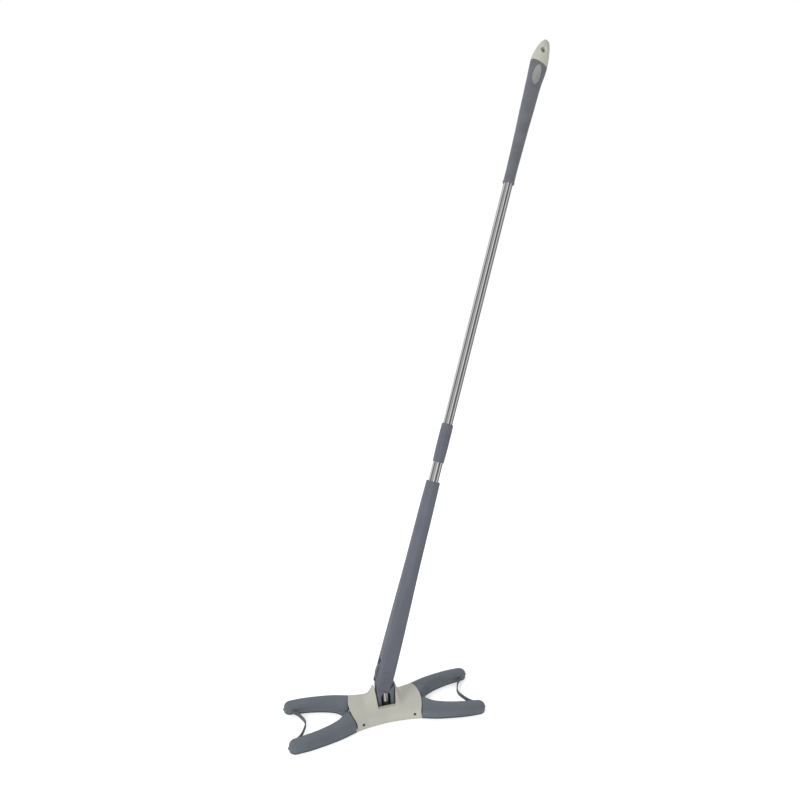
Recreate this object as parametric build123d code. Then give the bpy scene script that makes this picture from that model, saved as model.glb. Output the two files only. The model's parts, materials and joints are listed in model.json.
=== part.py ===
"""X-frame flat floor mop: telescopic pole, sliding sleeve, two-axis swivel and a four-armed head.

Millimetres. Origin on the floor under the middle of the head, X along the head, Y to the back, +Z up.
The pole parts are modelled upright about their own axis (z up the pole, z = 0 at the roll pin), the
swivel parts about the pitch pin, and both are then placed at the pole's rest tilt.
"""
from build123d import *
import os
from math import sqrt

# ---------------------------------------------------------------- rest pose
LEAN_BACK = 9.8          # tilt of the swivel and pole towards the back, degrees
LEAN_SIDE = 17.8         # roll of the pole towards the right, degrees
PITCH_Z = 38.0           # height of the pitch pin above the floor
ROLL_ABOVE_PITCH = 30.0  # roll pin above the pitch pin

# ---------------------------------------------------------------- fits
RUN_GAP = 0.05           # radial clearance of a running fit
LOOSE_GAP = 0.3          # clearance between parts that move past each other
SWEEP_GAP = 0.5          # clearance round curved parts of the swivel

# ---------------------------------------------------------------- pole, heights from the roll pin
POLE_LENGTH = 1326.0
UPPER_TUBE_D = 19.0
UPPER_TUBE_WALL = 0.6
LOWER_TUBE_WALL = 0.45
LOWER_TUBE_D = UPPER_TUBE_D + 2 * (RUN_GAP + LOWER_TUBE_WALL)
LOWER_TUBE_BOTTOM = 20.0
TUBE_OVERLAP = 72.0      # upper tube inside the lower one with the pole drawn out
BUSH_LENGTH = 18.0
BUSH_WALL = 2.0
FORK_SPIGOT = 22.0

COLLAR_BOTTOM = 430.0
COLLAR_LENGTH = 78.0
COLLAR_TOP = COLLAR_BOTTOM + COLLAR_LENGTH
COLLAR_END_D = LOWER_TUBE_D + 2.4
COLLAR_MAX_D = LOWER_TUBE_D + 4.6
COLLET_D = LOWER_TUBE_D + 1.8
COLLET_LENGTH = 35.0
COLLET_RIM = 5.0         # part of the collet that stands above the lower tube
COLLET_SLIT = 1.6
LOWER_TUBE_TOP = COLLAR_TOP - 11.0
COLLET_BOTTOM = LOWER_TUBE_TOP - COLLET_LENGTH
UPPER_TUBE_BOTTOM = LOWER_TUBE_TOP - TUBE_OVERLAP

SLEEVE_RISE = 37.0       # travel of the sleeve up the lower tube
SLEEVE_TOP = COLLAR_BOTTOM - SLEEVE_RISE - 2.0
SLEEVE_TOP_D = 27.6
SLEEVE_NECK_D = 30.0
SLEEVE_NECK_SHARE = 0.59  # height of the neck section between the middle and the top
SLEEVE_MID_Z = 208.0
SLEEVE_MID_D = 31.6
SLEEVE_LOW_Z = 115.0
SLEEVE_LOW_W = 33.0
SLEEVE_LOW_T = 30.0
SLEEVE_FOOT_Z = 30.0
SLEEVE_FOOT_W = 34.6
SLEEVE_FOOT_T = 28.4
SLEEVE_END_R = 19.0      # cylindrical lower end, about the roll pin
SLEEVE_WALL = 2.4
SLEEVE_BUSH = 14.0       # length of the guide rings left solid at the two ends

LEVER_BOTTOM = -3.0
LEVER_TOP = 27.0
LEVER_PIVOT_Z = 23.0
LEVER_BULGE = 3.4        # how far the lever stands out of the sleeve
LEVER_T = 10.0
LEVER_PIN_D = 2.5
LEVER_PIN_LENGTH = 17.0
LEVER_PIN_X = 2.6 - SLEEVE_FOOT_W / 2
LEVER_SLOT_TOP = 37.0
LEVER_SLOT_DEPTH = 5.6

GRIP_LENGTH = 265.0
CAP_LENGTH = 50.0
GRIP_TOP = POLE_LENGTH - CAP_LENGTH
GRIP_BOTTOM = GRIP_TOP - GRIP_LENGTH
UPPER_TUBE_TOP = GRIP_TOP - 14.0
GRIP_RING_H = 7.0
GRIP_RING_D = UPPER_TUBE_D + 5.0
GRIP_LOW_D = UPPER_TUBE_D + 3.6
GRIP_HEAD_W = 38.6
GRIP_HEAD_T = 31.0
GRIP_HEAD_Z = GRIP_TOP - 14.0
# share of the grip's length, and of its gain in width and in thickness
GRIP_SWELL = ((0.0, 0.0, 0.0), (0.275, 0.125, 0.21), (0.54, 0.35, 0.52), (0.77, 0.61, 0.81),
              (0.91, 0.85, 0.95), (1.0, 1.0, 1.0))
CAP_JOINT_Z = GRIP_TOP - 5.4
CAP_TILT = 10.8          # fall of the joint between grip and end cap to the right, degrees
CAP_LEAN = 16.4          # and its fall to the front
CAP_TIP_W = 17.5
CAP_TIP_T = 15.0
CAP_TIP_X = 3.0          # how far the cap's tip leans to the right
CAP_SPIGOT = 22.0
# share of the cap's length, and of its loss in width and in thickness, and of its lean
CAP_TAPER = ((0.38, 0.14, 0.18, 0.27), (0.68, 0.44, 0.475, 0.6), (0.96, 1.0, 1.0, 1.0))
HANG_HOLE_D = 9.0
HANG_HOLE_X = -1.2
HANG_HOLE_Z = POLE_LENGTH - 30.0
HANG_HOLE_LENGTH = 16.0
INLAY_LENGTH = 43.0
INLAY_WIDTH = 17.0
INLAY_X = -3.2
INLAY_Z = GRIP_TOP - 36.0
INLAY_FLOOR = 12.0

# ---------------------------------------------------------------- swivel, heights from the pitch pin
FORK_R = 8.5
TONGUE_T = 10.0
FORK_SLOT_T = TONGUE_T + 0.4
TONGUE_W = 14.0
ROLL_PIN_D = 5.0
ROLL_PIN_LENGTH = 18.8
PITCH_PIN_D = 6.0
BARREL_D = 13.0
BARREL_WALL = 1.2
BARREL_TOP = 6.0
BARREL_BOTTOM = -10.4
BARREL_Y = -4.5
FOOT_D = BARREL_D + 3.0
FOOT_TRAVEL = 1.2
FOOT_STEM = 6.0
SPRING_WIRE = 1.0
SPRING_R = BARREL_D / 2 - BARREL_WALL - 1.7
SPRING_TURNS = 3.5
NOTCH_W = BARREL_D + 6.0
NOTCH_TOP = NOTCH_W / 2 - 1.5
PITCH_PIN_IN = NOTCH_W / 2 + 1.0
PITCH_PIN_OUT = 24.0
KNUCKLE_FOOT_W = 31.4
KNUCKLE_HORN_W = 34.0
KNUCKLE_T = 26.0
KNUCKLE_HORN_Z = 21.0
KNUCKLE_FOOT_R = 20.8    # rounded underside, about the pitch pin

# ---------------------------------------------------------------- head
HEAD_LENGTH = 380.0
COVER_HALF_L = 71.0      # at the middle of the bowed ends
COVER_BOW = 9.0          # how far the ends bow out beyond the corners
COVER_CORNER_X = COVER_HALF_L - COVER_BOW
COVER_CORNER_Y = 41.0
COVER_WAIST_Y = 34.5
COVER_BOTTOM = 0.6
COVER_TOP = 25.5
COVER_WALL = 2.5
COVER_EDGE_R = 9.0
MOUND_TOP = PITCH_Z + 17.0
MOUND_HALF_W = 23.0
MOUND_BASE_W = 38.0
MOUND_BASE_Y = 30.0
SLOT_FLOOR_R = KNUCKLE_FOOT_R + 0.7   # trough under the knuckle, about the pitch pin
SLOT_SILL_Z = PITCH_Z - 12.0
SLOT_SILL_W = 35.0
SLOT_TOP_W = 41.0
BASE_T = 3.0
ARM_GAP = 0.6            # clearance between the arms and the cover's bowed ends
SCREW_X = COVER_CORNER_X - 12.0
SCREW_Z = 11.0
SCREW_HEAD_D = 5.0
SCREW_D = 3.0
BOSS_W = 7.2

ARM_PIVOT = (COVER_CORNER_X - 6.0, 20.0)
ARM_POST_D = 8.0
ARM_ROOT_R = 11.0
ARM_TOP = 21.5
ARM_WALL = 2.2
ARM_ROOF = 3.0
ARM_EDGE_R = 6.0
SOLE_T = 2.5
TIP_R = 12.5
TIP_CENTRE = (HEAD_LENGTH / 2 - TIP_R, 50.0)
# outer and inner edge of an arm: share of its reach, and of its spread to the tip's edge
ARM_OUTER = ((0.24, 0.43), (0.485, 0.72), (0.78, 0.967))
ARM_INNER = ((0.675, 0.87), (0.433, 0.672), (0.26, 0.44), (0.165, 0.147))
TIP_PLUG_D = 4.0
STRIP_T = 2.0
STRIP_BOTTOM = 3.6
STRIP_TOP = 11.0
STRIP_DEPTH = 21.6       # from the strip's ends to its apex, along the head
STRIP_END = (TIP_CENTRE[0] - 3.9, TIP_CENTRE[1] - TIP_R - 1.3)

swivel_place = Pos(0, 0, PITCH_Z) * Rot(-LEAN_BACK, 0, 0)
pole_place = swivel_place * Pos(0, 0, ROLL_ABOVE_PITCH) * Rot(0, LEAN_SIDE, 0)


# ================================================================ small helpers
def rod(diameter, bottom, top, x=0, y=0):
    """Upright cylinder from bottom to top."""
    return Pos(x, y, (bottom + top) / 2) * Cylinder(diameter / 2, top - bottom)


def tube(outer, inner, bottom, top):
    """Upright round tube."""
    return rod(outer, bottom, top) - rod(inner, bottom - 1, top + 1)


def block(x_range, y_range, z_range):
    """Box between pairs of limits."""
    size = [b - a for a, b in (x_range, y_range, z_range)]
    centre = [(a + b) / 2 for a, b in (x_range, y_range, z_range)]
    return Pos(*centre) * Box(*size)


def rod_x(diameter, start, end, y=0, z=0):
    """Cylinder along X."""
    return Pos((start + end) / 2, y, z) * Rot(0, 90, 0) * Cylinder(diameter / 2, end - start)


def rod_y(diameter, start, end, x=0, z=0):
    """Cylinder along Y."""
    return Pos(x, (start + end) / 2, z) * Rot(90, 0, 0) * Cylinder(diameter / 2, end - start)


def extrude_y(face_xz, half):
    """Extrude a face drawn in the XZ plane to +-half along Y."""
    return extrude(face_xz, amount=half, both=True)


def xz(*points):
    """Polygon in the XZ plane."""
    return make_face(Polyline(*[(x, 0, z) for x, z in points], close=True))


def between(low, high, share):
    """Value that lies the given share of the way from low to high."""
    return low + share * (high - low)


def rounded_section(width, thickness, corner, z):
    """Rounded rectangle at height z, for lofts."""
    return Pos(0, 0, z) * RectangleRounded(width, thickness, corner)


def oval_section(width, thickness, z, x=0):
    """Ellipse at height z, for lofts."""
    return Pos(x, 0, z) * Ellipse(width / 2, thickness / 2)


# ================================================================ handle
def grip_body():
    """Outer form of the grip: round at the bottom, swelling to a flattened head."""
    bottom = GRIP_BOTTOM + GRIP_RING_H
    sections = [
        oval_section(between(GRIP_LOW_D, GRIP_HEAD_W, width), between(GRIP_LOW_D, GRIP_HEAD_T, thickness),
                     between(bottom, GRIP_HEAD_Z, height))
        for height, width, thickness in GRIP_SWELL
    ]
    return loft(sections + [shoulder_section()])


def shoulder_section():
    """Section just above the joint, common to the grip and the cap."""
    return oval_section(GRIP_HEAD_W - 1.4, GRIP_HEAD_T - 0.8, GRIP_TOP + 8)


def cap_split():
    """Half space above the sloping joint between grip and cap."""
    return Pos(0, 0, CAP_JOINT_Z) * Rot(CAP_LEAN, CAP_TILT, 0) * Pos(0, 0, 50) * Box(120, 120, 100)


def inlay_prism():
    """Oval prism that pockets the grip's front face."""
    prism = Rot(90, 0, 0) * extrude(Ellipse(INLAY_WIDTH / 2, INLAY_LENGTH / 2), amount=30)
    return Pos(INLAY_X, -INLAY_FLOOR, INLAY_Z) * prism


def grip():
    body = grip_body() - cap_split() - rod(UPPER_TUBE_D, GRIP_BOTTOM - 5, GRIP_TOP + 30)
    return body - inlay_prism()


def grip_inlay():
    return grip_body() & inlay_prism()


def grip_ring():
    ring = tube(GRIP_RING_D, UPPER_TUBE_D, GRIP_BOTTOM, GRIP_BOTTOM + GRIP_RING_H)
    return chamfer(ring.edges().filter_by(GeomType.CIRCLE).sort_by(SortBy.RADIUS)[-2:], 0.8)


def end_cap():
    """Bullet-shaped cap with the hanging hole, leaning slightly to the right."""
    sections = [oval_section(GRIP_HEAD_W - 0.4, GRIP_HEAD_T - 0.3, GRIP_TOP - 20), shoulder_section()]
    for height, width, thickness, lean in CAP_TAPER:
        sections.append(oval_section(between(GRIP_HEAD_W - 1.4, CAP_TIP_W, width),
                                     between(GRIP_HEAD_T - 0.8, CAP_TIP_T, thickness),
                                     between(GRIP_TOP, POLE_LENGTH, height), CAP_TIP_X * lean))
    body = loft(sections) & cap_split()
    body = fillet(body.faces().sort_by(Axis.Z)[-1].edges(), 1.8)
    half = HANG_HOLE_LENGTH / 2
    body -= rod_y(HANG_HOLE_D, -half - 1, half + 1, HANG_HOLE_X, HANG_HOLE_Z)
    body -= rod_y(HANG_HOLE_D + 3, half, GRIP_HEAD_T, HANG_HOLE_X, HANG_HOLE_Z)
    body -= rod_y(HANG_HOLE_D + 3, -GRIP_HEAD_T, -half, HANG_HOLE_X, HANG_HOLE_Z)
    spigot = rod(UPPER_TUBE_D - 2 * UPPER_TUBE_WALL, UPPER_TUBE_TOP - CAP_SPIGOT, UPPER_TUBE_TOP)
    neck = rod(UPPER_TUBE_D, UPPER_TUBE_TOP, GRIP_TOP + 4)
    return body + spigot + neck


def upper_tube():
    inner = UPPER_TUBE_D - 2 * UPPER_TUBE_WALL
    return tube(UPPER_TUBE_D, inner, UPPER_TUBE_BOTTOM, UPPER_TUBE_TOP)


def slide_bush():
    """Plastic plug in the foot of the upper tube, with a rim that guides it in the lower tube."""
    inner = UPPER_TUBE_D - 2 * UPPER_TUBE_WALL
    bore = inner - 2 * BUSH_WALL
    plug = tube(inner, bore, UPPER_TUBE_BOTTOM - 3, UPPER_TUBE_BOTTOM + BUSH_LENGTH)
    return plug + tube(UPPER_TUBE_D, bore, UPPER_TUBE_BOTTOM - 3, UPPER_TUBE_BOTTOM)


# ================================================================ lower pole
def lower_tube():
    bore = UPPER_TUBE_D + 2 * RUN_GAP
    return tube(LOWER_TUBE_D, bore, LOWER_TUBE_BOTTOM, LOWER_TUBE_TOP)


def tube_fork():
    """Insert in the foot of the lower tube whose two prongs straddle the knuckle's tongue."""
    bore = UPPER_TUBE_D + 2 * RUN_GAP
    spigot = rod(bore, LOWER_TUBE_BOTTOM, LOWER_TUBE_BOTTOM + FORK_SPIGOT)
    neck = rod(LOWER_TUBE_D, 0, LOWER_TUBE_BOTTOM)
    prongs = rod(LOWER_TUBE_D, -FORK_R, LOWER_TUBE_BOTTOM) & rod_y(2 * FORK_R, -15, 15)
    slot = block((-20, 20), (-FORK_SLOT_T / 2, FORK_SLOT_T / 2), (-20, FORK_R + SWEEP_GAP))
    return spigot + neck + prongs - slot - rod_y(ROLL_PIN_D, -20, 20)


def roll_pin():
    return rod_y(ROLL_PIN_D, -ROLL_PIN_LENGTH / 2, ROLL_PIN_LENGTH / 2)


def lock_collet():
    """Split plastic ring on the head of the lower tube that the collar squeezes."""
    lower = tube(COLLET_D, LOWER_TUBE_D, COLLET_BOTTOM, LOWER_TUBE_TOP)
    upper = tube(COLLET_D, UPPER_TUBE_D + 2 * RUN_GAP, LOWER_TUBE_TOP, LOWER_TUBE_TOP + COLLET_RIM)
    slit_z = (LOWER_TUBE_TOP - COLLET_LENGTH / 2, LOWER_TUBE_TOP + COLLET_RIM + 1)
    slit = block((0, COLLET_D), (-COLLET_SLIT / 2, COLLET_SLIT / 2), slit_z)
    return lower + upper - slit


def lock_collar():
    """Twist collar: tapered at both ends, widest above the middle."""
    end, widest = COLLAR_END_D / 2, COLLAR_MAX_D / 2
    low, high = COLLAR_BOTTOM, COLLAR_TOP
    outline = Polyline((end - 0.6, low), (end, low + 1.5), (end + 0.5, low + 10))
    outline += Spline((end + 0.5, low + 10), (widest, low + 32), (widest, high - 20))
    outline += Polyline((widest, high - 20), (widest - 0.5, high - 7), (end + 0.2, high - 3))
    outline += Polyline((end + 0.2, high - 3), (end - 0.8, high), (0, high), (0, low), (end - 0.6, low))
    body = revolve(make_face(Plane.XZ * outline), Axis.Z)
    bore = rod(LOWER_TUBE_D + 2 * RUN_GAP, COLLAR_BOTTOM - 1, COLLET_BOTTOM)
    chamber_top = LOWER_TUBE_TOP + COLLET_RIM + LOOSE_GAP
    chamber = rod(COLLET_D + 2 * RUN_GAP, COLLET_BOTTOM - LOOSE_GAP, chamber_top)
    mouth = rod(UPPER_TUBE_D + 2 * LOOSE_GAP, LOWER_TUBE_TOP, COLLAR_TOP + 1)
    return body - bore - chamber - mouth


# ================================================================ sleeve and its lever
def sleeve_sections(inset=0.0):
    """Loft sections of the sleeve: (width, thickness, corner radius, height)."""
    neck_z = between(SLEEVE_MID_Z, SLEEVE_TOP, SLEEVE_NECK_SHARE)
    sections = [
        (SLEEVE_FOOT_W, SLEEVE_FOOT_T, 7.5, -SLEEVE_END_R - 3),
        (SLEEVE_FOOT_W, SLEEVE_FOOT_T, 8.0, SLEEVE_FOOT_Z),
        (SLEEVE_LOW_W, SLEEVE_LOW_T, 12.5, SLEEVE_LOW_Z),
        (SLEEVE_MID_D, SLEEVE_MID_D, SLEEVE_MID_D / 2 - 0.2, SLEEVE_MID_Z),
        (SLEEVE_NECK_D, SLEEVE_NECK_D, SLEEVE_NECK_D / 2 - 0.2, neck_z),
        (SLEEVE_TOP_D, SLEEVE_TOP_D, SLEEVE_TOP_D / 2 - 0.2, SLEEVE_TOP),
    ]
    return [
        rounded_section(width - 2 * inset, thickness - 2 * inset, corner - inset, z)
        for width, thickness, corner, z in sections
    ]


def sleeve_body():
    """Outer form of the sleeve: a round neck that turns into a flat-faced foot."""
    rounded_end = rod_y(2 * SLEEVE_END_R, -40, 40) + block((-40, 40), (-40, 40), (0, SLEEVE_TOP + 1))
    return loft(sleeve_sections()) & rounded_end


def sleeve_hollow():
    """Space between the shell's wall and the tube, clear of the guide bushes at its two ends."""
    heights = (LEVER_SLOT_TOP + SLEEVE_BUSH, SLEEVE_TOP - SLEEVE_BUSH)
    return loft(sleeve_sections(SLEEVE_WALL)) & block((-40, 40), (-40, 40), heights)


def lever_slot():
    """Slot in the sleeve's left wall for the release lever."""
    half = LEVER_T / 2 + LOOSE_GAP
    outside = -SLEEVE_FOOT_W / 2
    depth = (outside - 20, outside + LEVER_SLOT_DEPTH)
    return block(depth, (-half, half), (LEVER_BOTTOM - 2.5, LEVER_SLOT_TOP))


def sleeve_shell():
    bore = LOWER_TUBE_D + 2 * RUN_GAP
    body = fillet(sleeve_body().faces().sort_by(Axis.Z)[-1].edges(), 1.6)
    half = TONGUE_T / 2 + 2 * LOOSE_GAP
    tongue_room = extrude_y(xz((-9, 3), (9, 3), (26, -22), (-26, -22)), half)
    body -= rod(bore, -40, SLEEVE_TOP + 5) + sleeve_hollow()
    return body - tongue_room - lever_slot() - lever_rod(LEVER_PIN_D, LEVER_PIN_LENGTH + 0.2)


def lever_rod(diameter, length):
    """Rod along Y on the lever's pivot."""
    return rod_y(diameter, -length / 2, length / 2, LEVER_PIN_X, LEVER_PIVOT_Z)


def lever_pin():
    return lever_rod(LEVER_PIN_D, LEVER_PIN_LENGTH)


def release_lever():
    """Lens-shaped blade on a cross pin in the sleeve's left wall."""
    outside = -SLEEVE_FOOT_W / 2
    middle = (LEVER_BOTTOM + LEVER_TOP) / 2
    back = Polyline((outside + 1.2, 0, LEVER_TOP), (outside + 4.4, 0, LEVER_TOP - 1.0),
                    (outside + 3.4, 0, LEVER_BOTTOM + 2), (outside + 1.0, 0, LEVER_BOTTOM))
    face = ThreePointArc((outside + 1.0, 0, LEVER_BOTTOM), (outside - LEVER_BULGE, 0, middle),
                         (outside + 1.2, 0, LEVER_TOP))
    blade = extrude_y(make_face(back + face), LEVER_T / 2)
    return blade - lever_rod(LEVER_PIN_D + 2 * RUN_GAP, 2 * LEVER_T)


def lever_spring():
    """Small steel leaf behind the lever's foot."""
    x = LEVER_SLOT_DEPTH - SLEEVE_FOOT_W / 2
    return block((x - 0.4, x), (-3, 3), (LEVER_BOTTOM + 1, LEVER_PIVOT_Z - 5))


# ================================================================ swivel
def knuckle():
    """Block that pitches between the cover's ears and carries the tongue for the roll pin."""
    foot, horn = KNUCKLE_FOOT_W / 2, KNUCKLE_HORN_W / 2
    profile = xz((-foot, -KNUCKLE_FOOT_R), (foot, -KNUCKLE_FOOT_R), (horn, 12), (horn, KNUCKLE_HORN_Z),
                 (-horn, KNUCKLE_HORN_Z), (-horn, 12))
    body = extrude_y(profile, KNUCKLE_T / 2)
    body -= rod_y(2 * (SLEEVE_END_R + SWEEP_GAP), -40, 40, z=ROLL_ABOVE_PITCH)
    body &= rod_x(2 * KNUCKLE_FOOT_R, -40, 40) + block((-40, 40), (-40, 40), (0, 60))
    body = fillet(body.edges().filter_by(Axis.Z).group_by(Axis.Z)[-1], 3.0)
    tongue = block((-TONGUE_W / 2, TONGUE_W / 2), (-TONGUE_T / 2, TONGUE_T / 2), (8, ROLL_ABOVE_PITCH))
    tongue += rod_y(2 * FORK_R, -TONGUE_T / 2, TONGUE_T / 2, z=ROLL_ABOVE_PITCH)
    body += tongue
    body -= rod_y(ROLL_PIN_D + 2 * RUN_GAP, -20, 20, z=ROLL_ABOVE_PITCH)
    notch_y = (-20, BARREL_Y + BARREL_D / 2)
    notch = block((-NOTCH_W / 2, NOTCH_W / 2), notch_y, (-30, NOTCH_TOP - NOTCH_W / 2))
    crown = rod_y(NOTCH_W, notch_y[0], notch_y[1], z=NOTCH_TOP - NOTCH_W / 2)
    body -= notch + crown
    body -= rod(FOOT_D + 2 * LOOSE_GAP, -30, BARREL_BOTTOM, y=BARREL_Y)
    pin = rod_x(PITCH_PIN_D + 2 * RUN_GAP, PITCH_PIN_IN - LOOSE_GAP, 30)
    body -= pin + mirror(pin, Plane.YZ)
    return body - rod(BARREL_D, BARREL_BOTTOM - 5, BARREL_TOP, y=BARREL_Y)


def detent_barrel():
    """Plated steel barrel of the parking detent, seated in the knuckle's notch."""
    barrel = rod(BARREL_D, BARREL_BOTTOM, BARREL_TOP, y=BARREL_Y)
    return barrel - rod(BARREL_D - 2 * BARREL_WALL, BARREL_BOTTOM - 1, BARREL_TOP - 2, y=BARREL_Y)


def detent_foot():
    """Rubber-tipped plunger that bears on the trough in the cover."""
    top = BARREL_BOTTOM - FOOT_TRAVEL - LOOSE_GAP
    head = rod(FOOT_D, -30, top, y=BARREL_Y) & rod_x(2 * (SLOT_FLOOR_R - LOOSE_GAP), -20, 20)
    stem = rod(BARREL_D - 2 * BARREL_WALL - 2 * RUN_GAP, top, top + FOOT_STEM, y=BARREL_Y)
    return head + stem


def detent_spring():
    """Compression spring in the barrel."""
    bottom = BARREL_BOTTOM - FOOT_TRAVEL - LOOSE_GAP + FOOT_STEM
    height = BARREL_TOP - 2 - bottom - SPRING_WIRE - 0.2
    path = Helix(pitch=height / SPRING_TURNS, height=height, radius=SPRING_R)
    section = Plane(origin=path @ 0, z_dir=path % 0) * Circle(SPRING_WIRE / 2)
    return Pos(0, BARREL_Y, bottom + SPRING_WIRE / 2 + 0.1) * sweep(section, path=path)


def pitch_pins():
    right = rod_x(PITCH_PIN_D, PITCH_PIN_IN, PITCH_PIN_OUT)
    return [right, mirror(right, Plane.YZ)]


# ================================================================ head
def edge_y(x, inset=0.0):
    """Front or back edge of the cover at x, inset square to its waisted arc."""
    dip = COVER_CORNER_Y - COVER_WAIST_Y
    radius = (COVER_CORNER_X**2 + dip**2) / (2 * dip)
    return COVER_WAIST_Y + radius - sqrt((radius + inset) ** 2 - x**2)


def head_outline(side_inset, edge_inset):
    """Plan of the cover: bowed ends, waisted front and back."""
    x, middle = COVER_CORNER_X - side_inset, COVER_HALF_L - side_inset
    y, waist = edge_y(x, edge_inset), edge_y(0, edge_inset)
    outline = ThreePointArc((-x, -y), (0, -waist), (x, -y))
    outline += ThreePointArc((x, -y), (middle, 0), (x, y))
    outline += ThreePointArc((x, y), (0, waist), (-x, y))
    outline += ThreePointArc((-x, y), (-middle, 0), (-x, -y))
    return make_face(outline)


def bowed_end(gap, height):
    """Block that covers everything inside the cover's bowed ends, up to the height."""
    x, y, middle = COVER_CORNER_X + gap, COVER_CORNER_Y, COVER_HALF_L + gap
    bow = (middle - x) * (100 / y) ** 2
    outline = ThreePointArc((middle - bow, -100), (middle, 0), (middle - bow, 100))
    outline += Polyline((middle - bow, 100), (-100, 100), (-100, -100), (middle - bow, -100))
    return extrude(Pos(0, 0, -5) * make_face(outline), amount=height + 5)


def mound():
    """Saddle that rises into two ears either side of the knuckle."""
    half, base, top = MOUND_HALF_W, MOUND_BASE_W, MOUND_TOP
    low = COVER_TOP - 4
    waist = MOUND_TOP - 19
    side = Line((-base, 0, low), (base, 0, low))
    side += ThreePointArc((base, 0, low), (half + 4.6, 0, waist), (half, 0, top - 3))
    side += ThreePointArc((half, 0, top - 3), (half - 1, 0, top - 0.8), (half - 4, 0, top))
    side += Line((half - 4, 0, top), (4 - half, 0, top))
    side += ThreePointArc((4 - half, 0, top), (1 - half, 0, top - 0.8), (-half, 0, top - 3))
    side += ThreePointArc((-half, 0, top - 3), (-half - 4.6, 0, waist), (-base, 0, low))
    ridge = extrude_y(make_face(side), MOUND_BASE_Y)
    shoulder = (19, MOUND_TOP - 15)
    dome = Line((0, -MOUND_BASE_Y, low), (0, MOUND_BASE_Y, low))
    dome += Spline((0, MOUND_BASE_Y, low), (0, *shoulder), (0, 0, top + 0.5),
                   (0, -shoulder[0], shoulder[1]), (0, -MOUND_BASE_Y, low))
    return ridge & extrude(make_face(dome), amount=base + 5, both=True)


def swivel_slot():
    """Front-to-back slot between the ears, with a round trough under the knuckle."""
    sill, top = SLOT_SILL_W / 2, SLOT_TOP_W / 2
    flare = (top - sill) / (MOUND_TOP - SLOT_SILL_Z)
    down = PITCH_Z - SLOT_FLOOR_R
    open_top = xz((-sill, SLOT_SILL_Z), (sill, SLOT_SILL_Z), (top + 7 * flare, MOUND_TOP + 7),
                  (-top - 7 * flare, MOUND_TOP + 7))
    trough = block((-sill, sill), (-SLOT_FLOOR_R, SLOT_FLOOR_R), (down, SLOT_SILL_Z))
    return extrude_y(open_top, 60) + (trough & Pos(0, 0, PITCH_Z) * rod_x(2 * SLOT_FLOOR_R, -30, 30))


def screw_places():
    """Position and direction of the cover screws: (x, y of the skirt, outward sign)."""
    return [(sx * SCREW_X, edge_y(SCREW_X), sy) for sx in (-1, 1) for sy in (-1, 1)]


def along_y(diameter, side, near, far, x, z):
    """Cylinder along Y from near to far, measured outward on the given side."""
    low, high = sorted((side * near, side * far))
    return rod_y(diameter, low, high, x, z)


def head_cover():
    slab = extrude(Pos(0, 0, COVER_BOTTOM) * head_outline(0, 0), amount=COVER_TOP - COVER_BOTTOM)
    top_edges = slab.faces().sort_by(Axis.Z)[-1].edges()
    slab = fillet(top_edges.sort_by(Axis.Y)[0:1] + top_edges.sort_by(Axis.Y)[-1:], COVER_EDGE_R)
    body = slab + mound() - swivel_slot()
    room = Pos(0, 0, COVER_BOTTOM - 1) * head_outline(-10, COVER_WALL)
    room = extrude(room, amount=COVER_TOP - COVER_WALL - COVER_BOTTOM + 1)
    top_edges = room.faces().sort_by(Axis.Z)[-1].edges()
    room = fillet(top_edges.sort_by(Axis.Y)[0:1] + top_edges.sort_by(Axis.Y)[-1:], COVER_EDGE_R - COVER_WALL)
    keep = MOUND_HALF_W + 4
    body -= room - block((-keep, keep), (-60, 60), (0, 60))
    body -= block((-keep + 5, keep - 5), (-26, 26), (0, PITCH_Z - SLOT_FLOOR_R - 3))
    body -= extrude(head_outline(-10, COVER_WALL), amount=BASE_T)
    pin = rod_x(PITCH_PIN_D, -PITCH_PIN_OUT, PITCH_PIN_OUT, z=PITCH_Z)
    body -= pin
    for x, y, side in screw_places():
        body -= along_y(SCREW_HEAD_D + 0.6, side, y - 1.0, y + 6, x, SCREW_Z)
        body -= along_y(SCREW_D, side, y - 8, y + 6, x, SCREW_Z)
    return body


def head_base():
    """Floor plate with the arm posts and the screw bosses."""
    plate = extrude(head_outline(3.0, COVER_WALL + LOOSE_GAP), amount=BASE_T)
    for x, y in ((x, y) for x in (-1, 1) for y in (-1, 1)):
        plate += rod(ARM_POST_D, BASE_T - 1, ARM_TOP - 1, x * ARM_PIVOT[0], y * ARM_PIVOT[1])
    for x, y, side in screw_places():
        depth = sorted((side * (y - COVER_WALL - 1.2), side * (y - 8.2)))
        boss = block((x - BOSS_W / 2, x + BOSS_W / 2), depth, (BASE_T - 1, SCREW_Z + 4))
        plate += boss - along_y(SCREW_D, side, y - 9, y, x, SCREW_Z)
    return plate + block((-20, 20), (-25, 25), (BASE_T - 1, PITCH_Z - SLOT_FLOOR_R - 3))


def cover_screws():
    screws = []
    for x, y, side in screw_places():
        head = along_y(SCREW_HEAD_D, side, y - 1.0, y + 0.4, x, SCREW_Z)
        shank = along_y(SCREW_D, side, y - 8, y - 1.0, x, SCREW_Z)
        screws.append(head + shank - along_y(1.6, side, y - 0.2, y + 1, x, SCREW_Z))
    return screws


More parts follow.
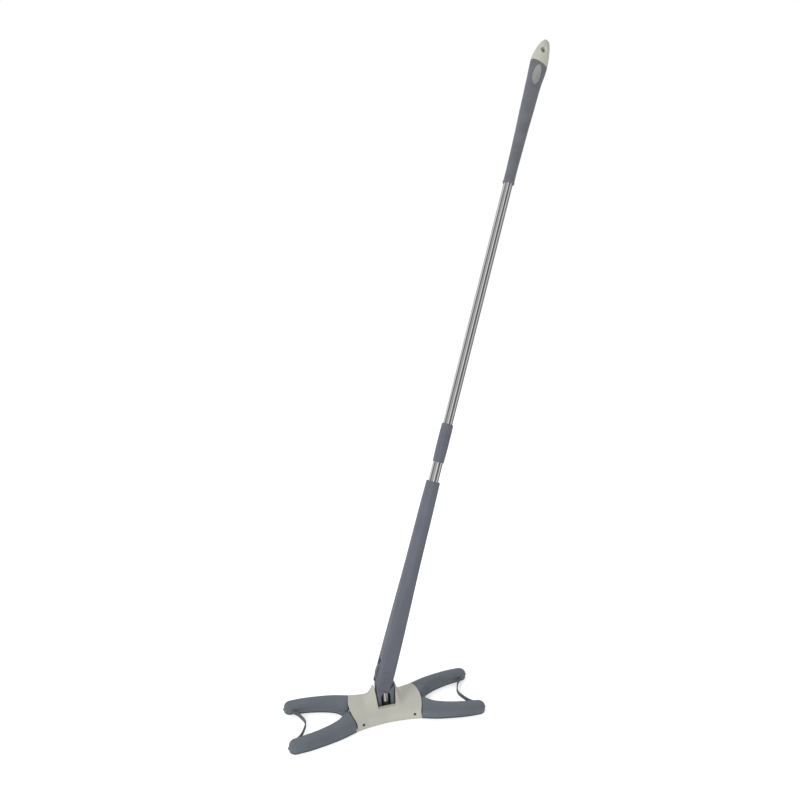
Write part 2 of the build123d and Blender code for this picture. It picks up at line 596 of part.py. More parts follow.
def arm_outline(inset=0.0):
    """Plan of the back right arm, or of its hollow; the other three are mirrored from it."""
    px, py = ARM_PIVOT
    tx, ty = TIP_CENTRE
    tip_r = TIP_R - inset
    step_x = COVER_CORNER_X + 1.9 + inset
    root_x = px - ARM_ROOT_R + inset
    outer = [(between(COVER_CORNER_X, tx, reach), between(COVER_CORNER_Y, ty + TIP_R, spread) - inset)
             for reach, spread in ARM_OUTER]
    outer = [(step_x, COVER_CORNER_Y + 0.6 - inset)] + outer + [(tx, ty + tip_r)]
    inner = [(between(COVER_CORNER_X, tx, reach), (ty - TIP_R) * spread + inset)
             for reach, spread in ARM_INNER]
    inner[-1] = (inner[-1][0] + inset, inner[-1][1])
    inner = [(tx - 4, ty - tip_r + 0.3)] + inner
    root_y = py + 8.2 - inset
    line = Polyline((root_x, py), (root_x, root_y), (COVER_CORNER_X - 3.0, root_y + 0.6),
                    (step_x + 0.7, COVER_CORNER_Y - 3 - inset), outer[0])
    line += Spline(*outer, tangents=((1, 0.36), (1, 0)))
    line += ThreePointArc(outer[-1], (tx + tip_r, ty), inner[0])
    line += Spline(*inner, tangents=((-1, -0.18), (-0.5, -1)))
    line += Polyline(inner[-1], (inner[-1][0] - 4 - inset, 2.4 + inset), (px, 1.6 + inset),
                     (root_x, 8 + inset), (root_x, py))
    return make_face(line)


def arm_shell():
    """Domed shell of the back right arm with its pivot boss."""
    solid = extrude(Pos(0, 0, SOLE_T) * arm_outline(), amount=ARM_TOP - SOLE_T)
    solid = fillet(solid.faces().sort_by(Axis.Z)[-1].edges(), ARM_EDGE_R)
    room = extrude(Pos(0, 0, SOLE_T - 1) * arm_outline(ARM_WALL), amount=ARM_TOP - ARM_ROOF - SOLE_T + 1)
    px, py = ARM_PIVOT
    room -= rod(2 * ARM_ROOT_R - 4, -5, 60, px, py)
    solid -= room
    solid -= rod(ARM_POST_D + 2 * RUN_GAP, -5, 60, px, py)
    return solid - bowed_end(ARM_GAP, BASE_T + LOOSE_GAP)


def arm_sole():
    """Rubber sole under the visible length of the arm."""
    return extrude(arm_outline(), amount=SOLE_T) - bowed_end(ARM_GAP, SOLE_T + 5)


def tip_plug():
    """Small plug low on the outer end of the arm."""
    tx, ty = TIP_CENTRE
    place = Pos(tx, ty, SOLE_T + 3.4) * Rot(0, 90, 20)
    plug = Pos(0, 0, TIP_R - 2.0) * Cylinder(TIP_PLUG_D / 2, 4.4)
    return place * plug


def mirrored(shape, right, back):
    """Copy of a back right part for the chosen quadrant."""
    if not right:
        shape = mirror(shape, Plane.YZ)
    if not back:
        shape = mirror(shape, Plane.XZ)
    return shape


def spring_strip():
    """V-shaped leaf on edge between the two right arms, apex towards the middle."""
    ex, ey = STRIP_END
    line = FilletPolyline((ex, -ey), (ex - 7, 11 - ey), (ex - STRIP_DEPTH, 0), (ex - 7, ey - 11), (ex, ey),
                          radius=8)
    ribbon = trace(line, STRIP_T)
    return extrude(Pos(0, 0, STRIP_BOTTOM) * ribbon, amount=STRIP_TOP - STRIP_BOTTOM)


# ================================================================ assembly
def write(name, shapes, place=Pos(0, 0, 0)):
    """Place the shape or shapes and write them as one node."""
    shapes = shapes if isinstance(shapes, list) else [shapes]
    placed = [place * solid for shape in shapes for solid in shape.solids()]
    export_step(placed[0] if len(placed) == 1 else Compound(children=placed), f"parts/{name}.step")


def main():
    os.makedirs("parts", exist_ok=True)
    pole_parts = (grip, grip_inlay, grip_ring, end_cap, upper_tube, slide_bush, lower_tube, tube_fork,
                  roll_pin, lock_collet, lock_collar, sleeve_shell, release_lever, lever_pin, lever_spring)
    for part in pole_parts:
        write(part.__name__, part(), pole_place)
    for part in (knuckle, detent_barrel, detent_foot, detent_spring, pitch_pins):
        place = Pos(0, 0, PITCH_Z) if part is pitch_pins else swivel_place
        write(part.__name__, part(), place)
    for part in (head_cover, head_base, cover_screws):
        write(part.__name__, part())
    sole, plug, strip = arm_sole(), tip_plug(), spring_strip()
    shell = arm_shell() - plug
    for right in (False, True):
        side = "right" if right else "left"
        write(f"spring_strip_{side}", mirrored(strip, right, True))
        for back in (False, True):
            corner = f"{'back' if back else 'front'}_{side}"
            write(f"arm_{corner}", mirrored(shell, right, back))
            write(f"sole_{corner}", mirrored(sole, right, back))
            write(f"tip_plug_{corner}", mirrored(plug, right, back))


main()
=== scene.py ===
"""Looks of the X-frame floor mop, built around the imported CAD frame.

Meshes are drawn in millimetres in a local frame and placed in metres. Two local frames are used: the
pole's own frame, with z up the pole from the roll pin, and the row frame for the head.
"""
import json
from math import cos, pi, radians, sin, sqrt

import bmesh
import bpy
from mathutils import Matrix, Vector


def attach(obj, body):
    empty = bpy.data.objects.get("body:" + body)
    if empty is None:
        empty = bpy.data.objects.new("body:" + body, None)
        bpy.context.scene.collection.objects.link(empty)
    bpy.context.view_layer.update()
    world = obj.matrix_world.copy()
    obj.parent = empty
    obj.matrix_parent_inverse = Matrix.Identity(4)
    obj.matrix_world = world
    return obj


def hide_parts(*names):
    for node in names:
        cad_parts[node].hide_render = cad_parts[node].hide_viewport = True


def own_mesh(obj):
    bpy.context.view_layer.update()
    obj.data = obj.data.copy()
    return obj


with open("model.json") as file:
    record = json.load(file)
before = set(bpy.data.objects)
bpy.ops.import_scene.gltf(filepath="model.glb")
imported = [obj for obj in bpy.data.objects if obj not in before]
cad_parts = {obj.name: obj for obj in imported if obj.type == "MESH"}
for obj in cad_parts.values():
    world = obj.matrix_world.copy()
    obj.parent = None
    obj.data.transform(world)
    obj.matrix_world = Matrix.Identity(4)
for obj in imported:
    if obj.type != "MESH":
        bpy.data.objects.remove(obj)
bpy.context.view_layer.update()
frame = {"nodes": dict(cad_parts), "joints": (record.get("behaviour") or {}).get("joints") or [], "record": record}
nodes = frame["nodes"]
joints = {joint["name"]: joint for joint in frame["joints"]}

MM = 0.001
RING = 72                # points round a turned or lofted piece
GRIP_OVER_TUBE = 14      # top of the grip above the end of the upper tube


# ================================================================ frames and sizes taken from the CAD
def pole_frame():
    """Matrix from the pole's own millimetres to the row frame's metres."""
    up = Vector(joints["telescope"]["axis"]).normalized()
    back = Vector(joints["head_roll"]["axis"]).normalized()
    right = back.cross(up)
    turn = Matrix((right, back, up)).transposed().to_4x4()
    return Matrix.Translation(joints["head_roll"]["pos_m"]) @ turn @ Matrix.Scale(MM, 4)


POLE = pole_frame()
ROW = Matrix.Scale(MM, 4)


def span(node, place=POLE):
    """Lowest and highest corner of a CAD node in a local frame, in millimetres."""
    inverse = place.inverted()
    points = [inverse @ v.co for v in nodes[node].data.vertices]
    return [Vector([pick(p[i] for p in points) for i in range(3)]) for pick in (min, max)]


GRIP_LOW = span("grip_ring")[1].z
GRIP_TOP = span("upper_tube")[1].z + GRIP_OVER_TUBE
POLE_TIP = span("end_cap")[1].z
SLEEVE_LOW, SLEEVE_TOP = (corner.z for corner in span("sleeve_shell"))
COLLAR_LOW, COLLAR_TOP = (corner.z for corner in span("lock_collar"))
UPPER_TUBE_R = span("upper_tube")[1].x
LOWER_TUBE_R = span("lower_tube")[1].x
COVER_LOW, COVER_HIGH = span("head_cover", ROW)
PINCH = Vector(joints["pinch_back_right"]["pos_m"]) / MM


# ================================================================ mesh helpers
def finish_mesh(name, bm, place, smooth_angle=40):
    """Turn a bmesh in local millimetres into a placed object with smooth shading."""
    bmesh.ops.recalc_face_normals(bm, faces=bm.faces)
    mesh = bpy.data.meshes.new(name)
    bm.to_mesh(mesh)
    bm.free()
    mesh.transform(place)
    mesh.shade_smooth()
    mesh.set_sharp_from_angle(angle=radians(smooth_angle))
    obj = bpy.data.objects.new(name, mesh)
    bpy.context.scene.collection.objects.link(obj)
    return obj


def add_loft(bm, rings, closed=False):
    """Join rings of points with quads; the ends are filled unless the loft closes on itself."""
    loops = [[bm.verts.new(point) for point in ring] for ring in rings]
    pairs = list(zip(loops, loops[1:] + loops[:1])) if closed else list(zip(loops, loops[1:]))
    for low, high in pairs:
        for i in range(len(low)):
            j = (i + 1) % len(low)
            bm.faces.new((low[i], low[j], high[j], high[i]))
    if not closed:
        bm.faces.new(loops[0][::-1])
        bm.faces.new(loops[-1])


def loft(name, rings, place, closed=False, smooth_angle=40):
    bm = bmesh.new()
    add_loft(bm, rings, closed)
    return finish_mesh(name, bm, place, smooth_angle)


def smooth_table(rows, at):
    """Catmull-Rom value between rows of (position, value, value, ...)."""
    at = min(max(at, rows[0][0]), rows[-1][0])
    i = max(k for k in range(len(rows) - 1) if rows[k][0] <= at)
    a, b = rows[i], rows[i + 1]
    before, after = rows[max(i - 1, 0)], rows[min(i + 2, len(rows) - 1)]
    width = b[0] - a[0]
    t = (at - a[0]) / width
    values = []
    for k in range(1, len(a)):
        slope_a = (b[k] - before[k]) / (b[0] - before[0]) * width
        slope_b = (after[k] - a[k]) / (after[0] - a[0]) * width
        values.append((2 * t**3 - 3 * t**2 + 1) * a[k] + (t**3 - 2 * t**2 + t) * slope_a
                      + (3 * t**2 - 2 * t**3) * b[k] + (t**3 - t**2) * slope_b)
    return values


def steps(low, high, count):
    return [low + (high - low) * i / count for i in range(count + 1)]


def circle(radius, z, x=0.0, y=0.0, count=RING):
    return [(x + radius * cos(2 * pi * i / count), y + radius * sin(2 * pi * i / count), z)
            for i in range(count)]


def pipe(name, outer, inner, low, high, place=POLE, rim=0.25):
    """Round tube with softened rims; the loft runs up the outside and down the bore."""
    profile = [(outer - rim, low), (outer, low + rim)]
    profile += [(outer, z) for z in steps(low + 1, high - 1, 24)]
    profile += [(outer, high - rim), (outer - rim, high), (inner, high), (inner, low)]
    return loft(name, [circle(r, z) for r, z in profile], place, closed=True)


def remesh_copy(name, node, voxel, rounds):
    """Moulded copy of a CAD node: one even skin whose edges are softened."""
    mesh = nodes[node].data.copy()
    obj = bpy.data.objects.new(name, mesh)
    bpy.context.scene.collection.objects.link(obj)
    obj.data.materials.clear()
    add_skin(obj, voxel, rounds)
    return obj


def add_skin(obj, voxel, rounds):
    """Remesh the object into one even skin, soften its edges and apply all its modifiers."""
    skin = obj.modifiers.new("skin", "REMESH")
    skin.mode = "VOXEL"
    skin.voxel_size = voxel * MM
    soften = obj.modifiers.new("soften", "SMOOTH")
    soften.iterations = rounds
    apply_modifiers(obj)
    obj.data.shade_smooth()


def apply_modifiers(obj):
    """Replace the object's mesh with its evaluated mesh."""
    graph = bpy.context.evaluated_depsgraph_get()
    mesh = bpy.data.meshes.new_from_object(obj.evaluated_get(graph))
    obj.modifiers.clear()
    obj.data = mesh


# ================================================================ materials
def base_material(name, color, roughness, metallic=0.0):
    material = bpy.data.materials.new(name)
    material.use_nodes = True
    shader = material.node_tree.nodes["Principled BSDF"]
    shader.inputs["Base Color"].default_value = (*color, 1)
    shader.inputs["Roughness"].default_value = roughness
    shader.inputs["Metallic"].default_value = metallic
    return material, material.node_tree, shader


def noise(tree, scale, detail=2.0, stretch=None):
    """Noise factor in object coordinates, per metre; stretch scales each axis."""
    coordinates = tree.nodes.new("ShaderNodeTexCoord")
    source = coordinates.outputs["Object"]
    if stretch:
        mapping = tree.nodes.new("ShaderNodeMapping")
        mapping.inputs["Rotation"].default_value = stretch[0]
        mapping.inputs["Scale"].default_value = stretch[1]
        tree.links.new(source, mapping.inputs["Vector"])
        source = mapping.outputs["Vector"]
    texture = tree.nodes.new("ShaderNodeTexNoise")
    texture.inputs["Scale"].default_value = scale
    texture.inputs["Detail"].default_value = detail
    tree.links.new(source, texture.inputs["Vector"])
    return texture.outputs["Fac"]


def ramp(tree, source, low, high, low_at=0.3, high_at=0.7):
    """Colour ramp between two colours or two grey values."""
    node = tree.nodes.new("ShaderNodeValToRGB")
    for element, at, value in zip(node.color_ramp.elements, (low_at, high_at), (low, high)):
        element.position = at
        element.color = (*value, 1) if isinstance(value, tuple) else (value, value, value, 1)
    tree.links.new(source, node.inputs["Fac"])
    return node.outputs["Color"]


def mix(tree, factor, a, b):
    node = tree.nodes.new("ShaderNodeMix")
    node.data_type = "RGBA"
    tree.links.new(factor, node.inputs["Factor"])
    tree.links.new(a, node.inputs["A"])
    tree.links.new(b, node.inputs["B"])
    return node.outputs["Result"]


def bump(tree, shader, sources):
    """Chain of bumps: (height source, strength, distance in metres)."""
    normal = None
    for height, strength, distance in sources:
        node = tree.nodes.new("ShaderNodeBump")
        node.inputs["Strength"].default_value = strength
        node.inputs["Distance"].default_value = distance
        tree.links.new(height, node.inputs["Height"])
        if normal:
            tree.links.new(normal, node.inputs["Normal"])
        normal = node.outputs["Normal"]
    tree.links.new(normal, shader.inputs["Normal"])


def shade(color, factor):
    return tuple(min(1.0, c * factor) for c in color)


def moulded(name, color, roughness, grain=1400.0, grain_depth=0.00005, edge_highlight=0.25, coat=0.0):
    """Injection-moulded plastic: fine spark-eroded grain, faint cloudiness, a painted highlight that lightens
    convex edges, handling marks.
    """
    material, tree, shader = base_material(name, color, roughness)
    cloud = ramp(tree, noise(tree, 22.0, 3.0), shade(color, 0.93), shade(color, 1.06))
    # Painted highlight: convex edges, found by pointiness, are painted lighter than the plastic's own colour.
    convexity = tree.nodes.new("ShaderNodeNewGeometry").outputs["Pointiness"]
    edge = ramp(tree, convexity, 0.0, edge_highlight, 0.52, 0.60)
    light = ramp(tree, noise(tree, 60.0), shade(color, 1.25), shade(color, 1.5))
    tree.links.new(mix(tree, edge, cloud, light), shader.inputs["Base Color"])
    marks = ramp(tree, noise(tree, 45.0, 5.0), roughness - 0.07, roughness + 0.09)
    tree.links.new(marks, shader.inputs["Roughness"])
    bump(tree, shader, [(noise(tree, grain, 2.0), 0.35, grain_depth), (noise(tree, 30.0, 1.0), 0.12, 0.0004)])
    shader.inputs["Coat Weight"].default_value = coat
    shader.inputs["Coat Roughness"].default_value = 0.3
    return material


def rubber(name, color, roughness=0.75, grain=2200.0):
    """Soft-touch rubber: matt, finely pitted, slightly dusty."""
    material, tree, shader = base_material(name, color, roughness)
    dust = ramp(tree, noise(tree, 35.0, 5.0), shade(color, 0.92), shade(color, 1.12), 0.35, 0.7)
    tree.links.new(dust, shader.inputs["Base Color"])
    patches = ramp(tree, noise(tree, 80.0, 4.0), roughness - 0.1, roughness + 0.08)
    tree.links.new(patches, shader.inputs["Roughness"])
    bump(tree, shader, [(noise(tree, grain, 3.0), 0.45, 0.00006)])
    shader.inputs["Sheen Weight"].default_value = 0.15
    shader.inputs["Sheen Roughness"].default_value = 0.5
    return material


def plated(name, color, roughness, streak=0.04):
    """Plated or polished steel with drawing lines along the pole and faint smudges."""
    material, tree, shader = base_material(name, color, roughness, 1.0)
    lean = POLE.to_3x3().to_euler()
    along = ((-lean.x, -lean.y, -lean.z), (1.0, 1.0, 0.02))
    lines = noise(tree, 1500.0, 2.0, along)
    smudge = ramp(tree, noise(tree, 40.0, 5.0), roughness * 0.7, roughness * 1.9)
    tree.links.new(smudge, shader.inputs["Roughness"])
    tint = ramp(tree, noise(tree, 18.0, 3.0), shade(color, 0.94), shade(color, 1.03))
    tree.links.new(tint, shader.inputs["Base Color"])
    bump(tree, shader, [(lines, streak, 0.00002)])
    return material


GREY_SOFT = rubber("grey_soft", (0.125, 0.130, 0.150))
LIGHT_INLAY = rubber("light_inlay", (0.265, 0.265, 0.255), 0.6)
GREY_PLASTIC = moulded("grey_plastic", (0.125, 0.132, 0.165), 0.42)
# The cream plastic gets a weaker painted highlight on its convex edges.
CREAM_PLASTIC = moulded("cream_plastic", (0.49, 0.485, 0.425), 0.38, edge_highlight=0.12)
CHROME = plated("chrome_tube", (0.80, 0.80, 0.79), 0.11)
BLACK_PLASTIC = moulded("black_plastic", (0.012, 0.012, 0.014), 0.4)
STEEL = plated("steel", (0.55, 0.55, 0.56), 0.25)
BLACK_RUBBER = rubber("black_rubber", (0.012, 0.012, 0.013), 0.6)
DARK_PLASTIC = moulded("dark_plastic", (0.075, 0.08, 0.095), 0.5)
BLACK_STEEL = plated("black_steel", (0.03, 0.03, 0.032), 0.4)
STRIP_PLASTIC = moulded("strip_plastic", (0.085, 0.09, 0.105), 0.42)
ARM_PLASTIC = moulded("arm_plastic", (0.120, 0.139, 0.160), 0.40)
SOLE_RUBBER = rubber("sole_rubber", (0.045, 0.048, 0.055), 0.8)
SLOTS = {
    "grey_soft": GREY_SOFT, "light_inlay": LIGHT_INLAY, "grey_plastic": GREY_PLASTIC,
    "cream_plastic": CREAM_PLASTIC, "chrome_tube": CHROME, "black_plastic": BLACK_PLASTIC,
    "steel": STEEL, "black_rubber": BLACK_RUBBER, "dark_plastic": DARK_PLASTIC,
    "black_steel": BLACK_STEEL, "strip_plastic": STRIP_PLASTIC, "arm_plastic": ARM_PLASTIC,
    "sole_rubber": SOLE_RUBBER,
}


def settle(obj, body, slot, *replaced):
    """Give a finished piece its body, material slot and the CAD nodes that it stands for."""
    obj.data.materials.clear()
    obj.data.materials.append(SLOTS[slot])
    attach(obj, body)
    if replaced:
        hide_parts(*replaced)
    return obj


def paint_nodes():
    """Every CAD node that stays in view takes its slot's material."""
    for subpart in frame["record"]["subparts"]:
        obj = nodes[subpart["node"]]
        obj.data.materials.clear()
        obj.data.materials.append(SLOTS[subpart["material_slot"]])


# ================================================================ grip and end cap
# share of the length from the ring to the cap, half widths to the left and right, half thickness
GRIP_PROFILE = (
    (0.0, 11.3, 11.3, 11.3), (0.11, 11.4, 11.4, 11.4), (0.30, 12.4, 12.4, 12.2), (0.44, 13.3, 13.0, 13.0),
    (0.57, 14.6, 14.3, 13.8), (0.70, 15.5, 15.2, 14.5), (0.79, 16.2, 16.0, 14.9), (0.85, 16.7, 17.4, 15.1),
    (0.91, 17.4, 19.3, 15.3), (0.97, 18.0, 19.9, 15.4), (1.0, 18.1, 19.8, 15.4), (1.08, 17.6, 19.4, 15.2),
)
# share of the cap's height, half widths to the left and right, half thickness
CAP_PROFILE = (
    (-0.3, 18.0, 19.9, 15.4), (0.0, 18.0, 19.7, 15.3), (0.2, 16.9, 18.8, 14.9), (0.4, 14.8, 17.6, 13.9),
    (0.6, 11.8, 16.0, 12.5), (0.78, 8.2, 14.0, 10.6), (0.9, 4.8, 11.9, 8.4), (0.97, 1.9, 9.4, 5.6),
    (1.0, -2.4, 5.6, 1.6),
)
JOINT_DROP = 5.4         # the joint's middle below the top of the grip
JOINT_TILT = 0.19        # it falls to the right
JOINT_LEAN = 0.295       # and to the front
HANG_HOLE = Vector(frame["record"]["mounts"][0]["pos_m"])


def oval(left, right, thick, z, count=RING):
    """Oval ring whose left and right halves differ; z may be a function of (x, y)."""
    ring = []
    for i in range(count):
        angle = 2 * pi * i / count
        x = (right if cos(angle) > 0 else left) * cos(angle)
        y = thick * sin(angle)
        ring.append((x, y, z(x, y) if callable(z) else z))
    return ring


def joint_z(x, y):
    """Height of the sloping joint between the grip and the cap."""
    return GRIP_TOP - JOINT_DROP - JOINT_TILT * x + JOINT_LEAN * y


def build_grip():
    """Oval grip that widens upwards and ends at the sloping joint."""
    length = GRIP_TOP - GRIP_LOW
    rings = []
    straight, sloped = 0.93, 0.98    # shares where the rings start and finish turning to the joint's slope
    for share in steps(0.0, straight, 60):
        left, right, thick = smooth_table(GRIP_PROFILE, share)
        rings.append(oval(left, right, thick, GRIP_LOW + share * length))
    top = GRIP_LOW + straight * length
    for k, share in enumerate(steps(straight, sloped, 6)[1:], 1):
        left, right, thick = smooth_table(GRIP_PROFILE, share)
        rings.append(oval(left, right, thick, lambda x, y, k=k: top + (joint_z(x, y) - top) * k / 6))
    left, right, thick = smooth_table(GRIP_PROFILE, sloped)
    rings.append(oval(left - 0.5, right - 0.5, thick - 0.5, lambda x, y: joint_z(x, y) + 0.35))
    rings.append(oval(left - 2.0, right - 2.0, thick - 2.0, lambda x, y: joint_z(x, y) + 0.4))
    rings.append(oval(9.5, 9.5, 9.5, lambda x, y: joint_z(x, y) + 0.2))
    low_rim = [circle(UPPER_TUBE_R, GRIP_LOW), circle(10.7, GRIP_LOW)]
    grip = loft("grip_body", low_rim + rings, POLE)
    settle(grip, "handle", "grey_soft", "grip")


def build_cap():
    """Rounded cap that starts at the sloping joint, with the hanging hole."""
    height = POLE_TIP - GRIP_TOP
    left, right, thick = smooth_table(CAP_PROFILE, -0.1)
    rings = [oval(left - inset, right - inset, thick - inset, lambda x, y, lift=lift: joint_z(x, y) + lift)
             for inset, lift in ((8.0, 0.5), (2.0, 0.6), (0.4, 0.9))]
    shoulder, lift, count = 0.2, 1.3, 8
    top = GRIP_TOP + height * shoulder

    def towards_shoulder(k):
        """Height of a ring on the way from the joint's slope to the level shoulder."""
        return lambda x, y: joint_z(x, y) + lift + (top - joint_z(x, y) - lift) * k / count

    for k, share in enumerate(steps(-0.1, shoulder, count)):
        left, right, thick = smooth_table(CAP_PROFILE, share)
        rings.append(oval(left, right, thick, towards_shoulder(k)))
    for share in steps(shoulder, 0.995, 44)[1:]:
        left, right, thick = smooth_table(CAP_PROFILE, share)
        rings.append(oval(left, right, thick, GRIP_TOP + height * share))
    cap = loft("cap_shell", rings, POLE)
    cut_hole(cap)
    settle(cap, "handle", "cream_plastic", "end_cap")


def cut_hole(cap):
    """Bore the hanging hole front to back, with a dished mouth, and soften its edges."""
    centre = POLE.inverted() @ HANG_HOLE
    profile = ((11.0, 24), (8.2, 14.5), (6.6, 12.4), (5.0, 10.0), (4.5, 8.0))
    profile += tuple((r, -y) for r, y in reversed(profile))
    rings = []
    for radius, y in profile:
        rings.append([(centre.x + radius * cos(2 * pi * i / 48), y, centre.z + radius * sin(2 * pi * i / 48))
                      for i in range(48)])
    cutter = loft("hole_cutter", rings, POLE)
    cut = cap.modifiers.new("hole", "BOOLEAN")
    cut.object = cutter
    cut.operation = "DIFFERENCE"
    cut.solver = "EXACT"
    add_skin(cap, 0.45, 12)
    bpy.data.objects.remove(cutter)


def surface_y(x, z):
    """Depth of the grip's front surface at (x, z)."""
    left, right, thick = smooth_table(GRIP_PROFILE, (z - GRIP_LOW) / (GRIP_TOP - GRIP_LOW))
    half = right if x > 0 else left
    return -thick * sqrt(max(0.0, 1 - (x / half) ** 2))


def build_inlay():
    """Elliptical inlay on the grip's front face, in a raised lip of the grip's own rubber."""
    low, high = span("grip_inlay")
    centre_x, middle = (low.x + high.x) / 2, (low.z + high.z) / 2
    half_l, half_w = (high.z - low.z) / 2, (high.x - low.x) / 2

    def disc(name, scales):
        rings = []
        for scale, lift in scales:
            ring = []
            for i in range(64):
                angle = 2 * pi * i / 64
                x, z = centre_x + scale * half_w * cos(angle), middle + scale * half_l * sin(angle)
                ring.append((x, surface_y(x, z) - lift, z))
            rings.append(ring)
        return loft(name, rings, POLE)

    inlay = disc("inlay_oval", ((0.98, -1.2), (0.98, 0.0), (0.95, 0.35), (0.88, 0.5), (0.75, 0.25),
                                (0.55, 0.2), (0.35, 0.3), (0.15, 0.35), (0.02, 0.35)))
    settle(inlay, "handle", "light_inlay", "grip_inlay")
    lip = disc("inlay_lip", ((1.00, -1.0), (1.00, 0.35), (1.05, 0.5), (1.12, 0.4), (1.17, 0.0), (1.17, -1.0)))
    settle(lip, "handle", "grey_soft")


# ================================================================ collar, tubes and sleeve
def build_tubes():
    upper, lower = span("upper_tube"), span("lower_tube")
    settle(pipe("upper_pole", UPPER_TUBE_R, UPPER_TUBE_R - 0.6, upper[0].z, upper[1].z),
           "handle", "chrome_tube", "upper_tube")
    settle(pipe("lower_pole_tube", LOWER_TUBE_R, UPPER_TUBE_R + 0.05, lower[0].z, lower[1].z),
           "lower_pole", "chrome_tube", "lower_tube")
    ring = span("grip_ring")
    profile = [(UPPER_TUBE_R, ring[0].z), (ring[1].x - 1.2, ring[0].z), (ring[1].x, ring[0].z + 1.2),
               (ring[1].x, ring[1].z - 2.6), (ring[1].x - 0.7, ring[1].z - 1.9), (ring[1].x - 0.7, ring[1].z),
               (UPPER_TUBE_R, ring[1].z)]
    settle(loft("grip_end_ring", [circle(r, z) for r, z in profile], POLE, closed=True),
           "handle", "grey_plastic", "grip_ring")


COLLAR_FLATS = 10        # shallow flats round the collar


def build_collar():
    """Twist collar with shallow flats, tapered towards both ends."""
    end, widest = 11.2, 12.3
    profile = [(LOWER_TUBE_R + 0.06, COLLAR_LOW), (end - 0.7, COLLAR_LOW), (end - 0.15, COLLAR_LOW + 0.6),
               (end, COLLAR_LOW + 2.0), (end + 0.4, COLLAR_LOW + 9), (end + 0.75, COLLAR_LOW + 18)]
    profile += [(widest - 0.1, z) for z in steps(COLLAR_LOW + 30, COLLAR_TOP - 18, 4)]
    profile += [(widest - 0.35, COLLAR_TOP - 9), (end + 0.5, COLLAR_TOP - 4), (end + 0.1, COLLAR_TOP - 1.6),
                (end - 0.5, COLLAR_TOP - 0.4), (end - 1.1, COLLAR_TOP), (UPPER_TUBE_R + 0.35, COLLAR_TOP),
                (UPPER_TUBE_R + 0.35, COLLAR_TOP - 3)]
    rings = []
    for radius, z in profile:
        share = min(1.0, max(0.0, min(z - COLLAR_LOW - 3, COLLAR_TOP - 3 - z) / 14))
        depth = 0.55 * share if radius > end - 0.2 else 0.0
        ring = []
        for i in range(RING * 2):
            angle = pi * i / RING
            dip = depth * (1 - cos(COLLAR_FLATS * angle)) / 2
            ring.append(((radius - dip) * cos(angle), (radius - dip) * sin(angle), z))
        rings.append(ring)
    settle(loft("twist_collar", rings, POLE, closed=True), "collar", "grey_plastic", "lock_collar")


# share of the sleeve's height, half width, half thickness, squareness (2 is round)
SLEEVE_PROFILE = (
    (0.0, 17.3, 14.2, 6.5), (0.10, 17.3, 14.2, 6.0), (0.2, 17.0, 14.4, 5.0), (0.32, 16.5, 14.9, 3.8),
    (0.45, 16.1, 15.5, 2.7), (0.56, 15.8, 15.7, 2.1), (0.72, 15.2, 15.2, 2.0), (0.83, 14.9, 14.9, 2.0),
    (0.92, 14.4, 14.4, 2.0), (1.0, 13.8, 13.8, 2.0),
)
SLEEVE_END_R = 19.0
FOOT_JOIN = -8.0         # height where the rounded end meets the straight walls
FOOT_WALL = 3.6          # wall round the fork
NECK_WALL = 2.4
NECK_BORE_R = LOWER_TUBE_R + 0.08
NECK_DEPTH = 12          # length of the bore that slides on the lower tube
CHAMFER_PLANE = 18.6     # distance from the axis to the chamfers along the corners of the foot
CHAMFER_END = 0.45       # share of the height where they have faded out
LEVER_LOW, LEVER_HIGH = (corner.z for corner in span("release_lever"))
LEVER_HALF = span("release_lever")[1].y
POCKET_DEPTH = 6.0       # depth of the lever's pocket in the left wall
POCKET_BACK = -10.9      # inner face of the wall behind the pocket


def squircle(half_w, half_t, power, angle):
    """Point of a superellipse at an angle."""
    c, s = cos(angle), sin(angle)
    radius = (abs(c / half_w) ** power + abs(s / half_t) ** power) ** (-1 / power)
    return radius * c, radius * s


def circle_like(radius, z, angles):
    return [(radius * cos(angle), radius * sin(angle), z) for angle in angles]


def sleeve_point(angle, z, inset=0.0):
    share = max(0.0, z - SLEEVE_LOW) / (SLEEVE_TOP - SLEEVE_LOW)
    half_w, half_t, power = smooth_table(SLEEVE_PROFILE, share)
    x, y = squircle(half_w - inset, half_t - inset, power, angle)
    if inset:
        return x, y
    reach = CHAMFER_PLANE * sqrt(2) / (abs(cos(angle)) + abs(sin(angle)))
    radius = sqrt(x * x + y * y)
    fade = max(0.0, 1 - share / CHAMFER_END)
    scale = 1 + fade * (min(radius, reach) / radius - 1)
    return x * scale, y * scale


def lever_recess(angle, z):
    """Depth of the lever's pocket in the left wall."""
    x, y = sleeve_point(angle, z)
    if x > 0:
        return 0.0
    across = (LEVER_HALF + 2.0 - abs(y)) / 0.8
    up = min(z - (LEVER_LOW - 3), LEVER_HIGH + 10 - z) / 0.8
    return POCKET_DEPTH * min(1.0, max(0.0, min(across, up)))


def clear_of_pocket(points):
    """Keep the inside of the foot behind the lever's pocket."""
    return [(max(x, POCKET_BACK) if abs(y) < LEVER_HALF + 3 else x, y, z) for x, y, z in points]


